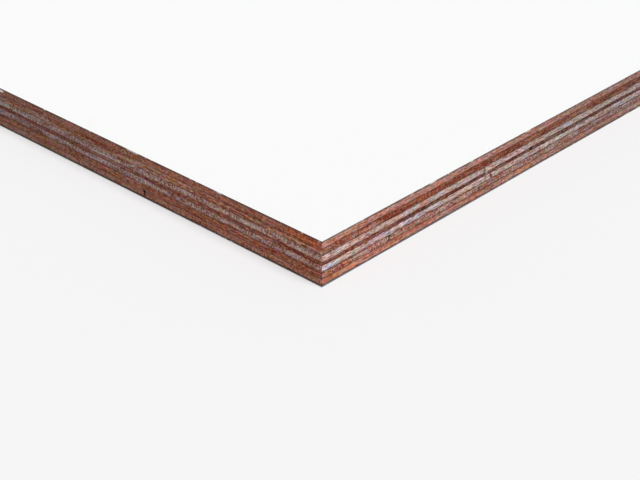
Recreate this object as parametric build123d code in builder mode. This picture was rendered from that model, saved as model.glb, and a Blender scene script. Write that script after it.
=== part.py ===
"""Plywood sheet: seven hardwood veneers with crossed grain, faced on both sides with a white film.

The sheet lies flat. Its origin is at the middle of the underside, +X runs along the length and the grain
of the face veneers, +Y along the width and +Z up through the veneers. All sizes are in millimetres.
"""

import os

from build123d import *

# Trimmed size of the sheet
SHEET_LENGTH = 2440.0
SHEET_WIDTH = 1220.0

# Thickness of each kind of layer
FILM_THICKNESS = 0.6
FACE_THICKNESS = 2.55
CROSSBAND_THICKNESS = 2.7
INNER_THICKNESS = 2.3
CENTRE_THICKNESS = 1.7

# Open butt joints in two of the crossbands: width, and distance of their middle from the near end
CENTRE_JOINT_WIDTH = 0.8
CENTRE_JOINT_FROM_END = 118.0
LOWER_JOINT_WIDTH = 0.3
LOWER_JOINT_FROM_END = 34.5

# The layers from the underside up. The build is balanced about the centre crossband.
LAYERS = (
    ("bottom_film", FILM_THICKNESS),
    ("bottom_face_veneer", FACE_THICKNESS),
    ("lower_crossband_veneer", CROSSBAND_THICKNESS),
    ("lower_inner_veneer", INNER_THICKNESS),
    ("centre_crossband_veneer", CENTRE_THICKNESS),
    ("upper_inner_veneer", INNER_THICKNESS),
    ("upper_crossband_veneer", CROSSBAND_THICKNESS),
    ("top_face_veneer", FACE_THICKNESS),
    ("top_film", FILM_THICKNESS),
)

# Layers that are laid in two lengths: middle of the joint along the sheet, and its width
NEAR_END = -SHEET_LENGTH / 2
JOINTS = {
    "centre_crossband_veneer": (NEAR_END + CENTRE_JOINT_FROM_END, CENTRE_JOINT_WIDTH),
    "lower_crossband_veneer": (NEAR_END + LOWER_JOINT_FROM_END, LOWER_JOINT_WIDTH),
}


def make_layer(name, underside, thickness):
    """One veneer or film, as wide and long as the sheet, parted where it has an open joint."""
    with BuildPart() as layer:
        with BuildSketch(Plane.XY.offset(underside)):
            Rectangle(SHEET_LENGTH, SHEET_WIDTH)
            if name in JOINTS:
                joint_place, joint_width = JOINTS[name]
                with Locations((joint_place, 0)):
                    Rectangle(joint_width, SHEET_WIDTH, mode=Mode.SUBTRACT)
        extrude(amount=thickness)
    layer.part.label = name
    return layer.part


os.makedirs("parts", exist_ok=True)
height = 0.0
for layer_name, layer_thickness in LAYERS:
    export_step(make_layer(layer_name, height, layer_thickness), f"parts/{layer_name}.step")
    height += layer_thickness
print(f"sheet {SHEET_LENGTH:g} x {SHEET_WIDTH:g} x {height:g} mm, {len(LAYERS)} layers")
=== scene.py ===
"""Looks of a film-faced plywood sheet: its sawn edges, veneer by veneer, and the white film on both faces.

Each layer of the sheet is one piece that stands for the solid of the same name. A piece is a closed mesh with
a finely divided edge, so that glue lines wander, end grain is rough, and joints, a split and small chips are
real gaps and dents. Sizes are in millimetres, which MM turns into metres, and angles are in degrees.
Heights come from the solids.
"""

import itertools
import math
from collections import namedtuple

import bpy
import numpy as np
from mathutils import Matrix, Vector


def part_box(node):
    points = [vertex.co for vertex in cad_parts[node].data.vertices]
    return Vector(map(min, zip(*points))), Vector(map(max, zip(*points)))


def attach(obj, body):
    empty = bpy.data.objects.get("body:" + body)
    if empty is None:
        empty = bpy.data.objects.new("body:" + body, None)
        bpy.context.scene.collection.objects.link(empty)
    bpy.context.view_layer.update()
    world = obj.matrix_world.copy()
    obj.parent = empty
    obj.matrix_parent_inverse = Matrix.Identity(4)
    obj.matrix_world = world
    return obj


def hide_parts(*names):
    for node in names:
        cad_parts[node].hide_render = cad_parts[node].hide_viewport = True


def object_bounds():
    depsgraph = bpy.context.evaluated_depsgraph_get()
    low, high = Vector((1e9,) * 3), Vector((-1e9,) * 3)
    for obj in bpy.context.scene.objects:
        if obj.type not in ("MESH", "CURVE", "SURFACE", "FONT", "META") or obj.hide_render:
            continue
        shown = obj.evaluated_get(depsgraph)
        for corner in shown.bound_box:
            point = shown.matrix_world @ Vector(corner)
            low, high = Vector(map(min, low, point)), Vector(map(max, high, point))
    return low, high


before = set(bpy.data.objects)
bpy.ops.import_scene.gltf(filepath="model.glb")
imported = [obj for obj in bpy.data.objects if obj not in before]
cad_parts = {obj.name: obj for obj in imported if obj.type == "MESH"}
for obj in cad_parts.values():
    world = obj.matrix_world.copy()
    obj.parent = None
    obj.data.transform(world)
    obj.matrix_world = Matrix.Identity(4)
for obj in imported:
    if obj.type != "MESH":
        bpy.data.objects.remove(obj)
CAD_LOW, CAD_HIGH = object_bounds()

MM = 0.001
HALF_LENGTH = CAD_HIGH.x / MM
HALF_WIDTH = CAD_HIGH.y / MM
SHEET_TOP = CAD_HIGH.z / MM
HALVES = (HALF_LENGTH, HALF_WIDTH)
NEAR_CORNER = (-HALF_LENGTH, -HALF_WIDTH, 0.0)
SNAP = 0.01

# The sheet's four sides, anticlockwise. The near corner, which is seen close up, lies between NEAR and FRONT.
# SIDE_RUN keeps the sides apart in the noise of the relief.
FRONT, FAR, BACK, NEAR = range(4)
SIDE_RUN = 5000.0

# Division of the edge: fine by the near corner, coarse on the rest of the outline, coarsest out of sight.
# SHOULDER_INSET stays under FINE_STEP, so that no two columns cross at the near corner.
FINE_STEP = 0.4
FINE_REACH = 236.0
COARSE_STEP = 5.0
HIDDEN_STEP = 61.0
CAP_INSET = 10.0
SHOULDER_INSET = 0.3
ARRIS_ANGLE = 40.0

# Rows of points on the edge of a layer: the share of its height, and how far the row is set in.
# A film's rows start at the veneer.
VENEER_ROWS = tuple((share, 0.0) for share in (0.0, 0.05, 0.15, 0.32, 0.5, 0.68, 0.85, 0.95, 1.0))
FILM_ROWS = ((0.0, 0.0), (0.12, 0.0), (0.5, 0.0), (0.64, 0.0), (0.88, 0.0), (1.0, 0.0), (1.0, SHOULDER_INSET))

# Wander of the glue lines: how far they stray, and the length and weight of their wide and fine swings
GLUE_WANDER = 0.13
GLUE_SWINGS = ((19, 1.5), (5, 0.5))
GLUE_SWING_START = 900
GLUE_SEEDS_PER_MM = 10

# Relief of the sawn edge, always inwards. A spot is its length along the edge and its height.
SAW_DEPTH = 0.02
SAW_PITCH = 1.7
SAW_LEAN = 0.12
SAW_DRIFT_LENGTH = 20
SAW_SEED = 7
GROOVE_DEPTH = 0.09
GROOVE_HEIGHT = 0.16
GROOVE_LENGTH = 2.2
LONG_GRAIN_DEPTH = 0.03
LONG_GRAIN_SPOT = (7, 0.35)
END_GRAIN_DEPTH = 0.06
END_GRAIN_SPOT = (0.9, 0.6)
PIT_DEPTH = 0.22
PIT_SPOT = (1.3, 0.9)
PIT_THRESHOLD = 0.86
WEAR_DEPTH = 0.16
WEAR_REACH = 0.7
WEAR_HEIGHT = 1.2
WEAR_LEAST_SHARE = 0.4

# Chips of the top film's outer arris: short ones, thickest in longer chipped stretches
CHIP_DEPTH = 0.2
CHIP_DROP_SHARE = 0.6
CHIP_TAPER = 3
CHIP_LENGTH, CHIP_WEIGHT = 1.6, 0.7
STRETCH_LENGTH, STRETCH_WEIGHT = 9, 0.5
CHIP_THRESHOLD = 0.95

# The split in the bottom face veneer, on the near short edge
SPLIT_LAYER = "bottom_face_veneer"
SPLIT_FROM_CORNER = 91.2
SPLIT_HALF_WIDTH = 0.22
SPLIT_FLOOR_SHARE, SPLIT_INSIDE_SHARE = 0.8, 0.9
SPLIT_DEPTH = 4.0
SPLIT_LOW_SHARE = 0.16
SPLIT_STOP_SHARES = (-1.0, -SPLIT_FLOOR_SHARE, SPLIT_FLOOR_SHARE, 1.0)
SPLIT_STOPS = [SPLIT_FROM_CORNER + SPLIT_HALF_WIDTH * share for share in SPLIT_STOP_SHARES]

# Maps for the finished surfaces: the edge is folded into strips, and hidden faces get a small patch
Layout = namedtuple("Layout", "strips strips_from lower_patch upper_patch")
SMALL_PATCH, LARGE_PATCH = (0.01, 0.51, 0.99, 0.53), (0.01, 0.01, 0.99, 0.49)
VENEER_LAYOUT = Layout(42, 0.05, (0.01, 0.01, 0.49, 0.04), (0.51, 0.01, 0.99, 0.04))
BOTTOM_FILM_LAYOUT = Layout(40, 0.55, LARGE_PATCH, SMALL_PATCH)
TOP_FILM_LAYOUT = Layout(40, 0.55, SMALL_PATCH, LARGE_PATCH)
MAP_MARGIN_SHARE = 0.015
STRIP_HEIGHT_SHARE = 0.8
HIDDEN_RUN_SHARE = 0.05

# Random numbers of the relief, and the strides by which its noise picks them
RANDOM_SEED, RANDOM_COUNT = 18, 4096
RANDOM = np.random.default_rng(RANDOM_SEED).random(RANDOM_COUNT)
SEED_STRIDE = 131
CELL_STRIDES = (1, 157)
FIRST_VENEER_SEED, VENEER_SEED_STEP = 10, 7

# Attribute of a mesh: 0 to 1 through its layer
DEPTH = "depth_in_layer"

# Spots in a finish: their size along the grain, across it and upwards, their fine detail and their own seed.
# The length of streaks comes from the figure of each veneer.
Spots = namedtuple("Spots", "along across up detail seed")
BROAD_FIGURE = Spots(40, 9, 1.1, 2.0, 0.0)
STREAKS = Spots(None, 0.9, 0.4, 3.0, 3.1)
SPECKS = Spots(1.4, 0.75, 0.5, 1.0, 5.9)
PORES = Spots(1.8, 0.5, 0.45, 1.0, 7.7)
LATHE_CHECKS = Spots(9, 0.75, 1.2, 2.0, 11.3)
WARMTH = Spots(4.5, 2.8, 1.2, 0.5, 17.9)
GLUE_EDGE = Spots(3, 3, 30, 3.0, 23.3)
BLUSH = Spots(4, 3, 1.1, 0.5, 29.3)
FIBRES = Spots(2.3, 0.34, 0.28, 0.0, 37.1)
GROWTH_LINES = Spots(10, 10, 0.4, 3.0, 41.9)
FILM_GRIT = Spots(4, 4, 4, 3.0, 0.0)
FILM_FLECKS = Spots(2.2, 2.2, 2.2, 1.0, 5.3)
FILM_CLOUDS = Spots(160, 90, 90, 2.0, 9.1)
FILM_PEEL = Spots(1.4, 1.4, 1.4, 1.0, 13.7)

# Noise at which such spots begin to show, and at which they are full
PORE_RISE, FIBRE_RISE = (0.58, 0.7), (0.25, 0.75)
HUE_RISE, FLECK_RISE = (0.28, 0.72), (0.62, 0.72)

# A mark: the kind of edge that it lies on, its distance along it from the near corner, its height, half its
# length and half its height, its colour and strength, and its lean. It fades out at a ragged rim.
LONG_EDGE, SHORT_EDGE = "long edge", "short edge"
Mark = namedtuple("Mark", "edge along height half_length half_height colour strength lean", defaults=(0.0,))
MARK_FADE = (1.2, 0.3)
MARK_RAGGEDNESS, BREAK_RAGGEDNESS = 1.5, 0.5

# The film: a white outside on a dark core that lies against the veneer. The core has one colour on the long
# edges and one on the short ones, and pale flecks. By the near corner, the white of the bottom film's front
# edge is painted shade, grey-blue, over a thinner core.
FILM_WHITE = (251, 252, 251)
FILM_CHIP = (214, 204, 200)
# Painted shade: the grey-blue on the bottom film's front edge by the near corner, and how far it reaches
FILM_SHADED = (122, 125, 138)
FILM_CORE_SHARE, SHADED_BAND_CORE_SHARE = 0.93, 0.36
SHADED_BAND_REACH = (190.0, 60.0)
CORE_RAGGEDNESS = 0.1
CORE_FADE = (-0.035, 0.035)
DARK_CORE_TINT, PALE_CORE_TINT = (0.5, 0.45, 0.42), (1.5, 1.55, 1.58)
DULL_WHITE_TINT, CLEAR_WHITE_TINT = (0.985, 0.988, 0.99), (1.01, 1.01, 1.008)
FILM_ROUGHNESS, FILM_DULLING = 0.42, 0.1
FILM_SPECULAR = 0.35
FILM_BUMP, FILM_BUMP_HEIGHT = 0.15, 0.02
Film = namedtuple("Film", "outside_down seed layout long_core short_core fleck_share marks")
FILMS = {
    "bottom_film": Film(
        outside_down=True, seed=85, layout=BOTTOM_FILM_LAYOUT,
        long_core=(84, 62, 56), short_core=(70, 38, 24), fleck_share=0.3, marks=()),
    "top_film": Film(
        outside_down=False, seed=80, layout=TOP_FILM_LAYOUT,
        long_core=(112, 83, 75), short_core=(92, 44, 28), fleck_share=0.75, marks=(
            Mark(LONG_EDGE, 58, 17.75, 2.2, 0.6, FILM_CHIP, 0.9),
            Mark(LONG_EDGE, 115, 17.75, 2.2, 0.6, FILM_CHIP, 0.9),
            Mark(SHORT_EDGE, 50, 17.75, 1.6, 0.6, FILM_CHIP, 0.9),
            Mark(SHORT_EDGE, 97, 17.75, 4.0, 0.6, FILM_CHIP, 0.8),
        )),
}

# Glue: a dark line along the joint and a fainter, wider stain
Glue = namedtuple("Glue", "colour strength")
RED_GLUE, GREY_GLUE = (96, 38, 14), (60, 41, 34)
GLUE_LINE_REACH, GLUE_STAIN_REACH = (0.6, 0.2), (1.3, 0.2)
GLUE_STAIN_SHARE = 0.3
GLUE_RAGGEDNESS = 0.5
SHORT_EDGE_GLUE_SHARE = 0.75

# Painted light: the sawn edge is painted brightest at the near corner and dimmer and duller along both edges
LAMP_FALLOFF_REACH = (-20.0, 220.0)
PAINTED_LIGHT_TINT, PAINTED_FALLOFF_TINT = (1.22, 1.14, 1.1), (0.78, 0.86, 0.91)

# The wood's own tints and surface: dark figure is redder, and patches lean to olive or violet
DARK_FIGURE_TINT, PALE_FIGURE_TINT = (0.6, 0.25, 0.12), (1.4, 1.75, 1.88)
DARK_FIBRE_TINT, PALE_FIBRE_TINT = (0.54, 0.53, 0.52), (1.46, 1.47, 1.48)
OLIVE_TINT, VIOLET_TINT = (0.97, 1.05, 0.7), (1.03, 0.95, 1.3)
SHORT_EDGE_BLUSH = 1.5
LONG_GRAIN_CONTRAST, END_GRAIN_CONTRAST = 0.94, 1.2
LONG_GRAIN_BROAD_SHARE = 0.6
END_GRAIN_GROWTH_SHARE = 0.65
CHECK_LEAN = 0.25
VENEER_ROUGHNESS, VENEER_POLISH = 0.86, 0.12
VENEER_SPECULAR = 0.2
VENEER_BUMP, VENEER_BUMP_HEIGHT = 0.4, 0.06

# How the figure of each kind of veneer varies: the length of its streaks, the strength of each kind of spot,
# and the cool and warm tints of its patches. The strength of streaks also sets the growth lines in end grain.
# One layer has a figure of its own.
Figure = namedtuple("Figure", "streak_length broad streaks specks checks pores blush cool warm")
FIGURES = {
    "face_veneer": Figure(
        streak_length=10, broad=0.9, streaks=1.6, specks=1.0, checks=1.3, pores=0.4, blush=0.5,
        cool=(0.87, 1.04, 1.07), warm=(1.15, 0.94, 0.87)),
    "crossband_veneer": Figure(
        streak_length=16, broad=2.4, streaks=2.6, specks=2.6, checks=1.1, pores=0.6, blush=0.85,
        cool=(0.85, 1.05, 1.07), warm=(1.18, 0.93, 0.84)),
    "lower_crossband_veneer": Figure(
        streak_length=16, broad=1.3, streaks=3.1, specks=2.4, checks=0.9, pores=0.6, blush=0.85,
        cool=(0.85, 1.05, 1.07), warm=(1.18, 0.93, 0.84)),
    "inner_veneer": Figure(
        streak_length=8, broad=1.5, streaks=1.7, specks=0.9, checks=2.3, pores=0.5, blush=0.45,
        cool=(0.89, 1.04, 1.06), warm=(1.13, 0.95, 0.91)),
    "centre_veneer": Figure(
        streak_length=14, broad=4.8, streaks=2.2, specks=3.0, checks=3.2, pores=0.6, blush=1.0,
        cool=(0.83, 1.05, 1.1), warm=(1.19, 0.92, 0.84)),
}

# The veneers from the bottom up: the way their grain runs, the colours of their long and short edges, the
# glue of their joints, marks in the wood, and breaks. Breaks are voids, the split and chips, over the glue.
# The dark of the voids and the split is painted shade.
Veneer = namedtuple("Veneer", "slot grain long_edge short_edge glue_below glue_above marks breaks")
# Painted shade: the dark inside voids and the split
VOID_PAINTED_SHADE = (22, 10, 6)
VENEERS = {
    "bottom_face_veneer": Veneer(
        slot="face_veneer", grain="X", long_edge=(167, 125, 112), short_edge=(149, 105, 89),
        glue_below=Glue(GREY_GLUE, 1.0), glue_above=Glue(RED_GLUE, 0.8), marks=(
            Mark(LONG_EDGE, 82, 1.7, 3.5, 1.1, (200, 106, 72), 0.4),
            Mark(LONG_EDGE, 111, 1.9, 4.5, 1.0, (204, 114, 78), 0.5),
            Mark(LONG_EDGE, 118, 1.6, 2.6, 1.0, (176, 120, 58), 0.55),
            Mark(LONG_EDGE, 30, 1.9, 36.0, 1.7, (178, 120, 100), 0.6),
            Mark(LONG_EDGE, 5, 1.6, 4.0, 1.2, (176, 118, 68), 0.5),
        ), breaks=(
            Mark(SHORT_EDGE, SPLIT_FROM_CORNER, 2.95, 1.3, 0.4, VOID_PAINTED_SHADE, 0.95),
            Mark(SHORT_EDGE, SPLIT_FROM_CORNER, 2.1, 0.42, 1.3, VOID_PAINTED_SHADE, 0.9),
            Mark(SHORT_EDGE, 28.7, 2.6, 0.6, 0.5, VOID_PAINTED_SHADE, 0.8),
        )),
    "lower_crossband_veneer": Veneer(
        slot="crossband_veneer", grain="Y", long_edge=(155, 120, 113), short_edge=(140, 87, 68),
        glue_below=Glue(RED_GLUE, 0.9), glue_above=Glue(GREY_GLUE, 1.0), marks=(
            Mark(LONG_EDGE, 6, 4.5, 9.0, 1.6, (152, 88, 66), 0.65),
            Mark(LONG_EDGE, 15.5, 4.4, 2.0, 1.3, (138, 116, 116), 0.7),
            Mark(LONG_EDGE, 24, 4.8, 7.0, 1.4, (180, 126, 122), 0.6),
            Mark(LONG_EDGE, 43, 4.4, 8.0, 1.6, (140, 88, 72), 0.6),
            Mark(LONG_EDGE, 34.5, 4.3, 0.5, 1.0, (84, 40, 30), 0.8),
        ), breaks=(
            Mark(LONG_EDGE, 34.7, 5.3, 0.8, 0.7, VOID_PAINTED_SHADE, 0.9),
            Mark(SHORT_EDGE, SPLIT_FROM_CORNER, 3.2, 1.3, 0.35, VOID_PAINTED_SHADE, 0.95),
            Mark(SHORT_EDGE, 115.3, 3.5, 1.5, 0.4, (88, 16, 18), 0.9),
        )),
    "lower_inner_veneer": Veneer(
        slot="inner_veneer", grain="X", long_edge=(184, 161, 154), short_edge=(149, 119, 114),
        glue_below=Glue(GREY_GLUE, 0.95), glue_above=None, marks=(
            Mark(LONG_EDGE, 4.5, 7.2, 5.0, 1.2, (172, 174, 192), 0.6),
            Mark(LONG_EDGE, 40, 7.2, 24.0, 1.4, (176, 164, 178), 0.6),
            Mark(LONG_EDGE, 14.5, 8.0, 1.2, 0.4, (200, 132, 150), 0.7),
            Mark(LONG_EDGE, 92.8, 7.3, 1.0, 1.3, (104, 42, 52), 0.9, -1.0),
        ), breaks=()),
    "centre_crossband_veneer": Veneer(
        slot="centre_veneer", grain="Y", long_edge=(102, 67, 57), short_edge=(121, 76, 65),
        glue_below=None, glue_above=Glue(RED_GLUE, 0.2), marks=(
            Mark(LONG_EDGE, 0, 9.0, 36.0, 2.4, (106, 55, 45), 0.65),
            Mark(LONG_EDGE, 90.0, 9.0, 1.2, 1.2, (128, 110, 100), 0.85),
        ), breaks=(
            Mark(LONG_EDGE, 118.0, 9.0, 1.2, 0.9, VOID_PAINTED_SHADE, 0.95),
        )),
    "upper_inner_veneer": Veneer(
        slot="inner_veneer", grain="X", long_edge=(183, 161, 156), short_edge=(155, 129, 123),
        glue_below=Glue(RED_GLUE, 0.2), glue_above=Glue(GREY_GLUE, 0.4), marks=(
            Mark(LONG_EDGE, 52.5, 11.0, 3.5, 1.1, (186, 136, 122), 0.7),
            Mark(LONG_EDGE, 44, 11.0, 3.5, 0.9, (186, 180, 192), 0.5),
            Mark(LONG_EDGE, 62.5, 11.2, 2.0, 0.8, (168, 174, 202), 0.6),
            Mark(LONG_EDGE, 88.7, 11.0, 0.8, 1.4, (112, 88, 76), 0.8),
        ), breaks=()),
    "upper_crossband_veneer": Veneer(
        slot="crossband_veneer", grain="Y", long_edge=(132, 83, 65), short_edge=(151, 107, 90),
        glue_below=Glue(GREY_GLUE, 1.0), glue_above=Glue(RED_GLUE, 0.9), marks=(
            Mark(LONG_EDGE, 8, 13.4, 26.0, 2.2, (142, 100, 86), 0.75),
            Mark(LONG_EDGE, 52, 13.4, 24.0, 2.2, (130, 66, 48), 0.6),
            Mark(SHORT_EDGE, 88, 13.6, 5.0, 0.3, (92, 50, 36), 0.8),
            Mark(SHORT_EDGE, 26, 14.3, 34.0, 0.3, (84, 42, 26), 0.7, 0.013),
            Mark(SHORT_EDGE, 6, 14.6, 12.0, 0.45, (160, 92, 60), 0.5, 0.013),
        ), breaks=()),
    "top_face_veneer": Veneer(
        slot="face_veneer", grain="X", long_edge=(173, 127, 115), short_edge=(147, 97, 78),
        glue_below=Glue(RED_GLUE, 0.95), glue_above=Glue(GREY_GLUE, 0.75), marks=(
            Mark(SHORT_EDGE, 9, 16.0, 9.5, 1.7, (170, 88, 54), 0.7),
        ), breaks=(
            Mark(SHORT_EDGE, 179.2, 16.9, 2.4, 0.75, (234, 236, 228), 0.95),
        )),
}

# Light. The floor lies just below the underside, so that the two never share a plane.
SKY_WHITE = (1.0, 1.0, 1.0, 1.0)
SKY_STRENGTH = 0.345
SUN_STRENGTH = 2.25
SUN_ANGLE = 25.0
SUN_HEIGHT = 62.7
FLOOR_WHITE = (247, 247, 248)
FLOOR_GLOW_SHARE = 0.5
FLOOR_HALF_SIZE = 40000.0
FLOOR_DROP = 0.35

# View: the camera looks down past the near corner of the top, which has its place in the picture
IMAGE_WIDTH, IMAGE_HEIGHT = 640, 480
FOCAL_PIXELS = 1443.94
VIEW_AZIMUTH = 43.262
VIEW_DOWN = 30.431
CORNER_PIXEL = (322.0, 241.54)
CORNER_DEPTH = 479.73
SENSOR_WIDTH = 36.0
CLIP_START = 10.0


class Field:
    """One output of a finish's nodes. Arithmetic on it adds Math nodes to the same finish."""

    def __init__(self, nodes, socket):
        self.nodes = nodes
        self.socket = socket

    def maths(self, operation, *values):
        return self.nodes.node("ShaderNodeMath", {"operation": operation}, dict(enumerate(values)))

    def __add__(self, other):
        return self.maths("ADD", self, other)

    def __sub__(self, other):
        return self.maths("SUBTRACT", self, other)

    def __rsub__(self, other):
        return self.maths("SUBTRACT", other, self)

    def __mul__(self, other):
        return self.maths("MULTIPLY", self, other)

    def __truediv__(self, other):
        return self.maths("DIVIDE", self, other)

    def __pow__(self, other):
        return self.maths("POWER", self, other)

    def __abs__(self):
        return self.maths("ABSOLUTE", self)

    def __gt__(self, other):
        return self.maths("GREATER_THAN", self, other)

    def rise(self, low, high):
        """Smooth step from 0 at low to 1 at high; low may be the greater of the two."""
        stops = {"Value": self, "From Min": low, "From Max": high}
        return self.nodes.node("ShaderNodeMapRange", {"interpolation_type": "SMOOTHSTEP"}, stops)

    __radd__ = __add__
    __rmul__ = __mul__


# A place on a finish in millimetres, its three parts, and 1 on the short edges or 0 on the long ones
Place = namedtuple("Place", "point x y z short")


class Finish:
    """The nodes of a material or of the sky, and the few ways in which they are added."""

    def __init__(self, owner):
        owner.use_nodes = True
        self.owner = owner
        self.tree = owner.node_tree

    def node(self, kind, settings, sockets, output=0):
        """Adds a node: its settings first, then its sockets' values or links. Returns one output."""
        node = self.tree.nodes.new(kind)
        for key, value in settings.items():
            setattr(node, key, value)
        for key, value in sockets.items():
            self.join(node.inputs[key], value)
        return Field(self, node.outputs[output])

    def join(self, socket, value):
        if isinstance(value, Field):
            self.tree.links.new(value.socket, socket)
        else:
            socket.default_value = value

    def dress(self, shader, sockets):
        """Sets the sockets of a node that the owner already has."""
        for key, value in sockets.items():
            self.join(self.tree.nodes[shader].inputs[key], value)

    def place(self):
        metres = self.node("ShaderNodeTexCoord", {}, {}, "Object")
        point = self.node("ShaderNodeVectorMath", {"operation": "SCALE"}, {0: metres, "Scale": 1 / MM})
        x, y, z = (self.node("ShaderNodeSeparateXYZ", {}, {0: point}, axis) for axis in "XYZ")
        return Place(point, x, y, z, (abs(x) - HALF_LENGTH) > (abs(y) - HALF_WIDTH))

    def depth(self):
        return self.node("ShaderNodeAttribute", {"attribute_name": DEPTH}, {}, "Fac")

    def spots(self, kind, seed, point, grain="X"):
        """Smooth noise from 0 to 1, in spots of one kind that lie along the grain."""
        seed = seed + kind.seed
        sizes = (kind.along, kind.across, kind.up) if grain == "X" else (kind.across, kind.along, kind.up)
        scaled = self.node("ShaderNodeVectorMath", {"operation": "MULTIPLY_ADD"},
                           {0: point, 1: [1 / size for size in sizes], 2: (seed, -seed, 2 * seed)})
        return self.node("ShaderNodeTexNoise", {}, {"Vector": scaled, "Scale": 1.0, "Detail": kind.detail})

    def blend(self, share, first, second, way="MIX"):
        """A colour from first to second, or second laid on first in another way."""
        return self.node("ShaderNodeMix", {"data_type": "RGBA", "blend_type": way},
                         {0: share, 6: first, 7: second}, 2)

    def tint(self, colour, share, first, second):
        """A colour multiplied by a tint from first to second."""
        return self.blend(1.0, colour, self.blend(share, (*first, 1.0), (*second, 1.0)), "MULTIPLY")

    def bump(self, strength, height, relief):
        sockets = {"Strength": strength, "Distance": height * MM, "Height": relief}
        return self.node("ShaderNodeBump", {}, sockets)


def paint(seen):
    """A colour as it is seen, from 0 to 255, turned into the light that it returns."""
    shares = [value / 255 for value in seen]
    return tuple(s / 12.92 if s <= 0.04045 else ((s + 0.055) / 1.055) ** 2.4 for s in shares) + (1.0,)


def layer_heights(name):
    low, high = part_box(name)
    return low.z / MM, high.z / MM


def lay_marks(finish, colour, marks, place, raggedness):
    """The colour with soft-edged ellipses laid on it, each on its own kind of edge."""
    for mark in marks:
        on_long = mark.edge == LONG_EDGE
        along = (place.x + HALF_LENGTH if on_long else place.y + HALF_WIDTH) - mark.along
        height = place.z - mark.height
        if mark.lean:
            height = height - along * mark.lean
        reach = (along / mark.half_length) ** 2 + (height / mark.half_height) ** 2
        on_edge = 1 - place.short if on_long else place.short
        spot = (reach + raggedness).rise(*MARK_FADE) * on_edge * mark.strength
        colour = finish.blend(spot, colour, paint(mark.colour))
    return colour


def lay_glue(finish, colour, name, veneer, place, seed):
    """The colour with the glue of the veneer's lower and upper joints laid on it."""
    low, high = layer_heights(name)
    depth = finish.depth()
    ragged = finish.spots(GLUE_EDGE, seed, place.point) * GLUE_RAGGEDNESS
    edge_share = 1 - place.short * (1 - SHORT_EDGE_GLUE_SHARE)
    for inside, glue in ((depth, veneer.glue_below), (1 - depth, veneer.glue_above)):
        if glue:
            reach = inside * (high - low) + ragged
            line = reach.rise(*GLUE_LINE_REACH) * (1 - GLUE_STAIN_SHARE)
            line = line + reach.rise(*GLUE_STAIN_REACH) * GLUE_STAIN_SHARE
            colour = finish.blend(line * glue.strength * edge_share, colour, paint(glue.colour))
    return colour


def veneer_finish(name, veneer, seed):
    """Sawn veneer: streaks along the grain, growth lines and checks in the end grain, marks and glue."""
    finish = Finish(bpy.data.materials.new(name))
    figure = FIGURES.get(name, FIGURES[veneer.slot])
    place = finish.place()
    end = place.short if veneer.grain == "X" else 1 - place.short

    def spots(kind, point=place.point):
        return finish.spots(kind, seed, point, veneer.grain)

    lean = place.z * CHECK_LEAN
    if veneer.grain == "X":
        leaning = (place.x, place.y + lean, place.z)
    else:
        leaning = (place.x + lean, place.y, place.z)
    leaning = finish.node("ShaderNodeCombineXYZ", {}, dict(enumerate(leaning)))
    streaks = spots(STREAKS._replace(along=figure.streak_length)) - 0.5
    broad_share = LONG_GRAIN_BROAD_SHARE + end * (1 - LONG_GRAIN_BROAD_SHARE)
    tone = (spots(BROAD_FIGURE) - 0.5) * broad_share * figure.broad
    tone = tone + streaks * (1 - end) * figure.streaks
    tone = tone + (spots(GROWTH_LINES) - 0.5) * end * (END_GRAIN_GROWTH_SHARE * figure.streaks)
    tone = tone + (spots(SPECKS) - 0.5) * figure.specks
    tone = tone + (spots(LATHE_CHECKS, leaning) - 0.5) * end * figure.checks
    tone = tone - spots(PORES).rise(*PORE_RISE) * figure.pores
    tone = 0.5 + tone * (LONG_GRAIN_CONTRAST + end * (END_GRAIN_CONTRAST - LONG_GRAIN_CONTRAST))

    fibres = spots(FIBRES).rise(*FIBRE_RISE)
    warmth = spots(WARMTH).rise(*HUE_RISE)
    blush = (spots(BLUSH).rise(*HUE_RISE) - 0.5) * (1 + place.short * (SHORT_EDGE_BLUSH - 1))
    blush = 0.5 + blush * figure.blush
    away = finish.node("ShaderNodeVectorMath", {"operation": "DISTANCE"},
                       {0: place.point, 1: NEAR_CORNER}, "Value")

    colour = finish.blend(place.short, paint(veneer.long_edge), paint(veneer.short_edge))
    colour = lay_marks(finish, colour, veneer.marks, place, streaks * MARK_RAGGEDNESS)
    colour = finish.tint(colour, tone, DARK_FIGURE_TINT, PALE_FIGURE_TINT)
    colour = finish.tint(colour, fibres, DARK_FIBRE_TINT, PALE_FIBRE_TINT)
    colour = finish.tint(colour, warmth, figure.cool, figure.warm)
    colour = finish.tint(colour, blush, OLIVE_TINT, VIOLET_TINT)
    # Painted light: brightest by the near corner, falling off away from it
    colour = finish.tint(colour, away.rise(*LAMP_FALLOFF_REACH), PAINTED_LIGHT_TINT, PAINTED_FALLOFF_TINT)
    colour = lay_glue(finish, colour, name, veneer, place, seed)
    # Breaks over the glue; the dark of the voids and the split among them is painted shade
    colour = lay_marks(finish, colour, veneer.breaks, place, streaks * BREAK_RAGGEDNESS)

    finish.dress("Principled BSDF", {
        "Base Color": colour, "Roughness": VENEER_ROUGHNESS - tone * VENEER_POLISH,
        "Specular IOR Level": VENEER_SPECULAR, "Normal": finish.bump(VENEER_BUMP, VENEER_BUMP_HEIGHT, tone)})
    return finish.owner


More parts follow.
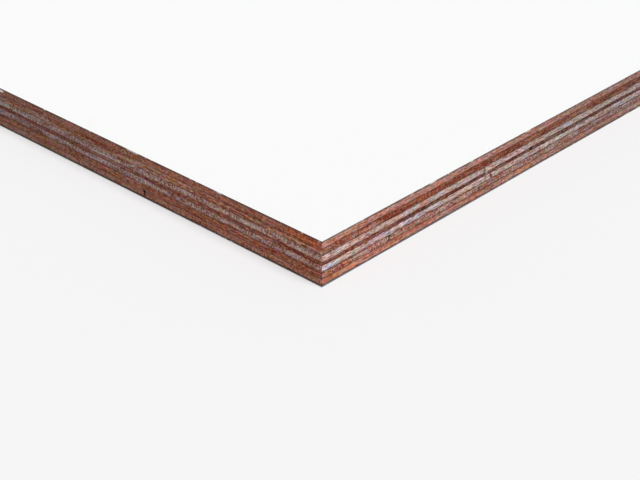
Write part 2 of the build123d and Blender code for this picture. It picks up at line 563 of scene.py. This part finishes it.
def film_finish(name, film):
    """Satin white film, whose sawn edge shows a dark core with pale flecks and chips."""
    finish = Finish(bpy.data.materials.new(name))
    place = finish.place()
    grit, flecks, clouds, peel = (finish.spots(kind, film.seed, place.point)
                                  for kind in (FILM_GRIT, FILM_FLECKS, FILM_CLOUDS, FILM_PEEL))

    core = finish.blend(place.short, paint(film.long_core), paint(film.short_core))
    core = finish.tint(core, grit, DARK_CORE_TINT, PALE_CORE_TINT)
    core = finish.blend(flecks.rise(*FLECK_RISE) * film.fleck_share, core, paint(FILM_CHIP))
    core = lay_marks(finish, core, film.marks, place, (grit - 0.5) * MARK_RAGGEDNESS)

    white = finish.tint(paint(FILM_WHITE), clouds, DULL_WHITE_TINT, CLEAR_WHITE_TINT)
    core_share = FILM_CORE_SHARE
    if film.outside_down:
        # Painted shade: by the near corner the bottom film's white front edge is painted grey-blue over a
        # thinner core
        pale = (1 - place.short) * (place.x + HALF_LENGTH).rise(*SHADED_BAND_REACH)
        core_share = FILM_CORE_SHARE - pale * (FILM_CORE_SHARE - SHADED_BAND_CORE_SHARE)
        white = finish.blend(pale * (place.z > SNAP), white, paint(FILM_SHADED))
    outside = (finish.depth() + (grit - 0.5) * CORE_RAGGEDNESS - core_share).rise(*CORE_FADE)

    finish.dress("Principled BSDF", {
        "Base Color": finish.blend(outside, core, white), "Roughness": FILM_ROUGHNESS + clouds * FILM_DULLING,
        "Specular IOR Level": FILM_SPECULAR, "Normal": finish.bump(FILM_BUMP, FILM_BUMP_HEIGHT, peel)})
    return finish.owner


def noise(seed, *places):
    """Smooth repeatable noise from 0 to 1; one unit of a place is one spot of it."""
    cells = [np.floor(place).astype(int) for place in places]
    eased = [(place - cell) ** 2 * (3 - 2 * (place - cell)) for place, cell in zip(places, cells)]
    total = 0.0
    for corner in itertools.product((0, 1), repeat=len(places)):
        index, weight = seed * SEED_STRIDE, 1.0
        for cell, share, step, stride in zip(cells, eased, corner, CELL_STRIDES):
            index = index + (cell + step) * stride
            weight = weight * (share if step else 1 - share)
        total = total + weight * RANDOM[index % RANDOM_COUNT]
    return total


class Outline:
    """Columns round a block of the sheet, anticlockwise from its near corner."""

    INWARD = ((0, 1), (-1, 0), (0, -1), (1, 0))

    def __init__(self, low, high, extra_stops):
        self.low, self.high = low, high
        corners = (low, (high[0], low[1]), high, (low[0], high[1]))
        places, inwards, sides, outers = [], [], [], []
        for side, corner in enumerate(corners):
            axis = side % 2
            across = corner[1 - axis]
            outer = abs(abs(across) - HALVES[1 - axis]) < SNAP
            stops = self.stops(side, corner[axis], corners[(side + 1) % 4][axis], outer, extra_stops)
            places.extend((stop, across) if axis == 0 else (across, stop) for stop in stops)
            inwards.append(np.add(self.INWARD[side], self.INWARD[side - 1]))
            inwards.extend([self.INWARD[side]] * (len(stops) - 1))
            sides.extend([side] * len(stops))
            outers.extend([outer] * len(stops))
        self.x, self.y = np.array(places).T
        self.inward_x, self.inward_y = np.array(inwards, float).T
        self.side, self.outer = np.array(sides), np.array(outers)
        along_x = self.side % 2 == 0
        self.along = np.where(along_x, self.x + HALF_LENGTH, self.y + HALF_WIDTH)
        self.to_corner = np.minimum(self.along, 2 * np.where(along_x, *HALVES) - self.along)
        self.run = (self.along + SIDE_RUN * self.side)[:, None]
        length = np.hypot(np.roll(self.x, -1) - self.x, np.roll(self.y, -1) - self.y)
        self.map_length = length * np.where(self.outer, 1.0, HIDDEN_RUN_SHARE)

    @staticmethod
    def stops(side, start, end, outer, extra_stops):
        """Coordinates of one side's columns, from its first corner up to the last before the next corner."""
        half = HALVES[side % 2]
        stops = np.arange(0.0, 2 * half, COARSE_STEP if outer else HIDDEN_STEP)
        if outer and side in (FRONT, NEAR):
            stops = np.concatenate((np.arange(0.0, FINE_REACH, FINE_STEP), stops[stops > FINE_REACH]))
        if side == NEAR:
            stops = np.sort(np.concatenate((stops, extra_stops)))
        stops = stops - half
        inside = (stops > min(start, end) + FINE_STEP / 2) & (stops < max(start, end) - FINE_STEP / 2)
        return np.concatenate(([start], stops[inside][::1 if end > start else -1]))


def glue_wander(height, outline):
    """How far a glue line strays from its height along an outline; the sheet's two faces stay flat."""
    stray = np.zeros_like(outline.x)
    if min(height, SHEET_TOP - height) < SNAP:
        return stray
    seed = round(height * GLUE_SEEDS_PER_MM)
    for length, weight in GLUE_SWINGS:
        places = (at / length + GLUE_SWING_START for at in (outline.x, outline.y))
        stray = stray + weight * (noise(seed + length, *places) - 0.5)
    return GLUE_WANDER * stray


def sawn_relief(outline, height, from_glue, grain, seed):
    """Depth of a veneer's edge within the true edge: saw marks, broken glue lines, grain, pits and wear."""
    run = outline.run

    def spots(number, spot):
        length, spot_height = spot
        return noise(seed + number, run / length, height / spot_height)

    turn = (run + SAW_LEAN * height) / SAW_PITCH + noise(SAW_SEED, run / SAW_DRIFT_LENGTH)
    saw = SAW_DEPTH * (0.5 + 0.5 * np.sin(2 * math.pi * turn))
    groove = GROOVE_DEPTH * np.exp(-(from_glue / GROOVE_HEIGHT) ** 2) * noise(seed, run / GROOVE_LENGTH)
    fibres = LONG_GRAIN_DEPTH * spots(1, LONG_GRAIN_SPOT)
    ends = END_GRAIN_DEPTH * spots(2, END_GRAIN_SPOT)
    ends += PIT_DEPTH * np.clip(spots(3, PIT_SPOT) - PIT_THRESHOLD, 0, 1)
    end_sides = (FAR, NEAR) if grain == "X" else (FRONT, BACK)
    rough = np.where(np.isin(outline.side, end_sides)[:, None], ends, fibres)
    wear = np.clip(1 - outline.to_corner / WEAR_REACH, 0, 1)[:, None] ** 2
    wear = WEAR_DEPTH * wear * (WEAR_LEAST_SHARE + noise(seed + 4, height / WEAR_HEIGHT))
    return (saw + groove + rough + wear) * outline.outer[:, None]


def split_relief(outline, share):
    """A narrow slit from the veneer's upper glue line most of the way down."""
    from_middle = abs(outline.along - SPLIT_FROM_CORNER)
    in_slit = (outline.side == NEAR) & (from_middle < SPLIT_HALF_WIDTH * SPLIT_INSIDE_SHARE)
    return SPLIT_DEPTH * in_slit[:, None] * (share > SPLIT_LOW_SHARE)


def chip_relief(outline, share, inset, seed):
    """Small chips out of the top film's outer arris."""
    chips = noise(seed, outline.run / CHIP_LENGTH) * CHIP_WEIGHT
    chips = chips + noise(seed + 1, outline.run / STRETCH_LENGTH) * STRETCH_WEIGHT
    depth = CHIP_DEPTH * np.clip(chips - CHIP_THRESHOLD, 0, 1)
    return depth * share ** CHIP_TAPER * (inset == 0) * outline.outer[:, None]


def zip_rows(outer, inner, outer_at, inner_at):
    """Triangles between two rows of points that run the same way, with the inner one on the left."""
    faces = []
    i = j = 0
    while i < len(outer) - 1 or j < len(inner) - 1:
        outer_left, inner_left = i < len(outer) - 1, j < len(inner) - 1
        if not inner_left or (outer_left and outer_at[i + 1] <= inner_at[j + 1]):
            faces.append((outer[i], outer[i + 1], inner[j]))
            i += 1
        else:
            faces.append((outer[i], inner[j + 1], inner[j]))
            j += 1
    return faces


def add_to_scene(name, data):
    thing = bpy.data.objects.new(name, data)
    bpy.context.scene.collection.objects.link(thing)
    return thing


class LayerMesh:
    """Gathers the points, faces and map of one layer."""

    def __init__(self):
        self.points, self.depths, self.faces, self.map = [], [], [], []
        self.count = 0

    def add_points(self, x, y, z, depth):
        """Appends points and returns their numbers, in the shape that they came in."""
        self.points.append(np.stack((x, y, z), -1).reshape(-1, 3) * MM)
        self.depths.append(np.broadcast_to(depth, np.shape(x)).reshape(-1))
        first, self.count = self.count, self.count + np.size(x)
        return np.arange(first, self.count).reshape(np.shape(x))

    def add_walls(self, wall, map_left, map_right, map_up):
        """Quads round a block; each column of them lies on the map between its left and right."""
        following = np.roll(wall, -1, 0)
        quads = np.stack((wall[:, :-1], following[:, :-1], following[:, 1:], wall[:, 1:]), -1)
        self.faces.extend(quads.reshape(-1, 4).tolist())
        lower, upper = map_up[:, :-1], map_up[:, 1:]
        left, right = (np.broadcast_to(side[:, None], lower.shape) for side in (map_left, map_right))
        corners = ((left, lower), (right, lower), (right, upper), (left, upper))
        self.map.append(np.stack([np.stack(corner, -1) for corner in corners], -2).reshape(-1, 2))

    def add_cap(self, outline, ring, height, upper, depth, patch):
        """One flat face of a block: a grid, and a band that zips it to the ring of the edge."""
        counts = [max(1, round((most - least) / HIDDEN_STEP))
                  for least, most in zip(outline.low, outline.high)]
        xs, ys = (np.linspace(least + CAP_INSET, most - CAP_INSET, count + 1)
                  for least, most, count in zip(outline.low, outline.high, counts))
        x, y = np.meshgrid(xs, ys, indexing="ij")
        grid = self.add_points(x, y, np.full_like(x, height), depth)
        quads = np.stack((grid[:-1, :-1], grid[1:, :-1], grid[1:, 1:], grid[:-1, 1:]), -1)
        faces = quads.reshape(-1, 4).tolist()
        inner_sides = ((grid[:, 0], xs), (grid[-1], ys),
                       (grid[::-1, -1], -xs[::-1]), (grid[0, ::-1], -ys[::-1]))
        for side, (inner, inner_at) in enumerate(inner_sides):
            columns = np.flatnonzero(outline.side == side)
            columns = np.append(columns, (columns[-1] + 1) % len(ring))
            outer_at = (outline.x, outline.y)[side % 2][columns] * (1 if side < BACK else -1)
            faces.extend(zip_rows(ring[columns].tolist(), inner.tolist(), outer_at, inner_at))
        faces = faces if upper else [face[::-1] for face in faces]
        self.faces.extend(faces)
        corners = np.concatenate(self.points)[np.concatenate(faces), :2] / MM
        shares = (corners + HALVES) / (2 * np.array(HALVES))
        self.map.append(np.array(patch[:2]) + shares * (np.array(patch[2:]) - patch[:2]))

    def make(self, name, material):
        """The finished object: smooth over the relief, sharp at the arrises."""
        mesh = bpy.data.meshes.new(name)
        mesh.from_pydata(np.concatenate(self.points).tolist(), [], self.faces)
        mesh.attributes.new(DEPTH, "FLOAT", "POINT").data.foreach_set("value", np.concatenate(self.depths))
        mesh.uv_layers.new(name="OFBake").data.foreach_set("uv", np.concatenate(self.map).ravel())
        mesh.shade_smooth()
        mesh.set_sharp_from_angle(angle=math.radians(ARRIS_ANGLE))
        mesh.materials.append(material)
        return add_to_scene(name, mesh)


def blocks_of(name):
    """Corners in plan of each length that a layer is laid in, read from its solid."""
    stops = sorted({round(vertex.co.x / MM, 3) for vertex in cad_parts[name].data.vertices})
    return [((left, -HALF_WIDTH), (right, HALF_WIDTH)) for left, right in zip(stops[::2], stops[1::2])]


def make_layer(name, rows, layout, material, relief_of, extra_stops=(), outside_down=False):
    """One layer of the sheet. Its rows go upwards.

    relief_of gives how far each point of its edge lies within the true edge, and how far it drops.
    """
    low, high = layer_heights(name)
    outlines = [Outline(*block, extra_stops) for block in blocks_of(name)]
    share, inset = np.array(rows).T
    depth = 1 - share if outside_down else share
    steps = np.abs(np.diff(share)) + np.abs(np.diff(inset))
    rise_share = np.concatenate(([0.0], np.cumsum(steps))) / steps.sum()
    pitch = (1 - layout.strips_from) / layout.strips
    strip_length = sum(outline.map_length.sum() for outline in outlines) / layout.strips

    layer = LayerMesh()
    run = 0.0
    for outline in outlines:
        floor, ceiling = ((height + glue_wander(height, outline))[:, None] for height in (low, high))
        heights = floor + share * (ceiling - floor)
        relief, drop = relief_of(outline, heights, np.minimum(heights - floor, ceiling - heights))
        inward = relief + inset
        wall_x = outline.x[:, None] + outline.inward_x[:, None] * inward
        wall_y = outline.y[:, None] + outline.inward_y[:, None] * inward
        wall = layer.add_points(wall_x, wall_y, heights - drop, depth)
        ends = run + np.cumsum(outline.map_length)
        starts = ends - outline.map_length
        run = ends[-1]
        fold = np.floor((starts + ends) / 2 / strip_length)
        left, right = (MAP_MARGIN_SHARE + (1 - 2 * MAP_MARGIN_SHARE) * (at / strip_length - fold)
                       for at in (starts, ends))
        base = layout.strips_from + pitch * (fold + (1 - STRIP_HEIGHT_SHARE) / 2)
        layer.add_walls(wall, left, right, base[:, None] + rise_share * pitch * STRIP_HEIGHT_SHARE)
        layer.add_cap(outline, wall[:, 0], low, False, depth[0], layout.lower_patch)
        layer.add_cap(outline, wall[:, -1], high, True, depth[-1], layout.upper_patch)
    return layer.make(name + "_finished", material)


def veneer_piece(name, veneer, seed):
    """A sawn veneer; the bottom face veneer has its split."""
    split = name == SPLIT_LAYER
    shares = np.array(VENEER_ROWS)[:, 0]

    def relief_of(outline, heights, from_glue):
        relief = sawn_relief(outline, heights, from_glue, veneer.grain, seed)
        if split:
            relief = relief + split_relief(outline, shares)
        return relief, 0.0

    return make_layer(name, VENEER_ROWS, VENEER_LAYOUT, veneer_finish(name, veneer, seed), relief_of,
                      extra_stops=SPLIT_STOPS if split else ())


def film_piece(name, film):
    """A film with its white outside up or down; only the top one is chipped."""
    rows = FILM_ROWS
    if film.outside_down:
        rows = tuple((1 - share, inset) for share, inset in reversed(FILM_ROWS))

    def relief_of(outline, heights, from_glue):
        if film.outside_down:
            return np.zeros_like(heights), 0.0
        relief = chip_relief(outline, *np.array(FILM_ROWS).T, film.seed)
        return relief, relief * CHIP_DROP_SHARE

    return make_layer(name, rows, film.layout, film_finish(name, film), relief_of,
                      outside_down=film.outside_down)


def white_floor():
    """A wide floor that glows a little to the camera and still takes the sheet's shadow."""
    reach = FLOOR_HALF_SIZE * MM
    corners = [(x * reach, y * reach, -FLOOR_DROP * MM) for x, y in ((-1, -1), (1, -1), (1, 1), (-1, 1))]
    floor_mesh = bpy.data.meshes.new("floor")
    floor_mesh.from_pydata(corners, [], [(0, 1, 2, 3)])
    finish = Finish(bpy.data.materials.new("white_floor"))
    finish.dress("Principled BSDF", {
        "Base Color": paint(FLOOR_WHITE), "Roughness": 1.0, "Specular IOR Level": 0.0})
    seen = finish.node("ShaderNodeLightPath", {}, {}, "Is Camera Ray")
    glow = finish.node("ShaderNodeEmission", {}, {"Color": paint(FLOOR_WHITE), "Strength": 1.0})
    lit = Field(finish, finish.tree.nodes["Principled BSDF"].outputs[0])
    shown = finish.node("ShaderNodeMixShader", {}, {0: seen * FLOOR_GLOW_SHARE, 1: lit, 2: glow})
    finish.dress("Material Output", {"Surface": shown})
    floor_mesh.materials.append(finish.owner)
    floor = add_to_scene("floor", floor_mesh)


def white_sky():
    """A soft sky, which shows as plain white where it is seen, mirrored or looked at through something."""
    sky = Finish(bpy.data.worlds.new("sky"))
    seen, mirrored, through = (sky.node("ShaderNodeLightPath", {}, {}, f"Is {ray} Ray")
                               for ray in ("Camera", "Glossy", "Transmission"))
    shown = seen.maths("MAXIMUM", seen.maths("MAXIMUM", seen, mirrored), through)
    sky.dress("Background", {"Color": SKY_WHITE, "Strength": SKY_STRENGTH + shown * (1 - SKY_STRENGTH)})
    bpy.context.scene.world = sky.owner


def soft_sun():
    """A wide, soft sun from the front."""
    light = bpy.data.lights.new("sun", "SUN")
    light.energy = SUN_STRENGTH
    light.angle = math.radians(SUN_ANGLE)
    sun = add_to_scene("sun", light)
    sun.rotation_euler = (math.radians(90 - SUN_HEIGHT), 0.0, 0.0)


def corner_camera():
    """The camera, set back from the near corner of the top by that corner's depth in the picture."""
    turn, down = math.radians(VIEW_AZIMUTH), math.radians(VIEW_DOWN)
    forward = Vector((math.cos(down) * math.cos(turn), math.cos(down) * math.sin(turn), -math.sin(down)))
    right = forward.cross(Vector((0, 0, 1))).normalized()
    lower = forward.cross(right)
    ray = forward + right * ((CORNER_PIXEL[0] - IMAGE_WIDTH / 2) / FOCAL_PIXELS)
    ray += lower * ((CORNER_PIXEL[1] - IMAGE_HEIGHT / 2) / FOCAL_PIXELS)
    lens = bpy.data.cameras.new("camera")
    lens.sensor_fit = "HORIZONTAL"
    lens.sensor_width = SENSOR_WIDTH
    lens.lens = SENSOR_WIDTH * FOCAL_PIXELS / IMAGE_WIDTH
    lens.clip_start = CLIP_START * MM
    camera = add_to_scene("camera", lens)
    camera.location = Vector((CAD_LOW.x, CAD_LOW.y, CAD_HIGH.z)) - ray * (CORNER_DEPTH * MM)
    camera.rotation_euler = forward.to_track_quat("-Z", "Y").to_euler()
    bpy.context.scene.camera = camera


for number, (layer_name, veneer_look) in enumerate(VENEERS.items()):
    layer_piece = veneer_piece(layer_name, veneer_look, FIRST_VENEER_SEED + VENEER_SEED_STEP * number)
    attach(layer_piece, "root")
    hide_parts(layer_name)
for layer_name, film_look in FILMS.items():
    layer_piece = film_piece(layer_name, film_look)
    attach(layer_piece, "root")
    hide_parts(layer_name)
white_floor()
white_sky()
soft_sun()
corner_camera()
bpy.context.scene.view_settings.view_transform = "Standard"
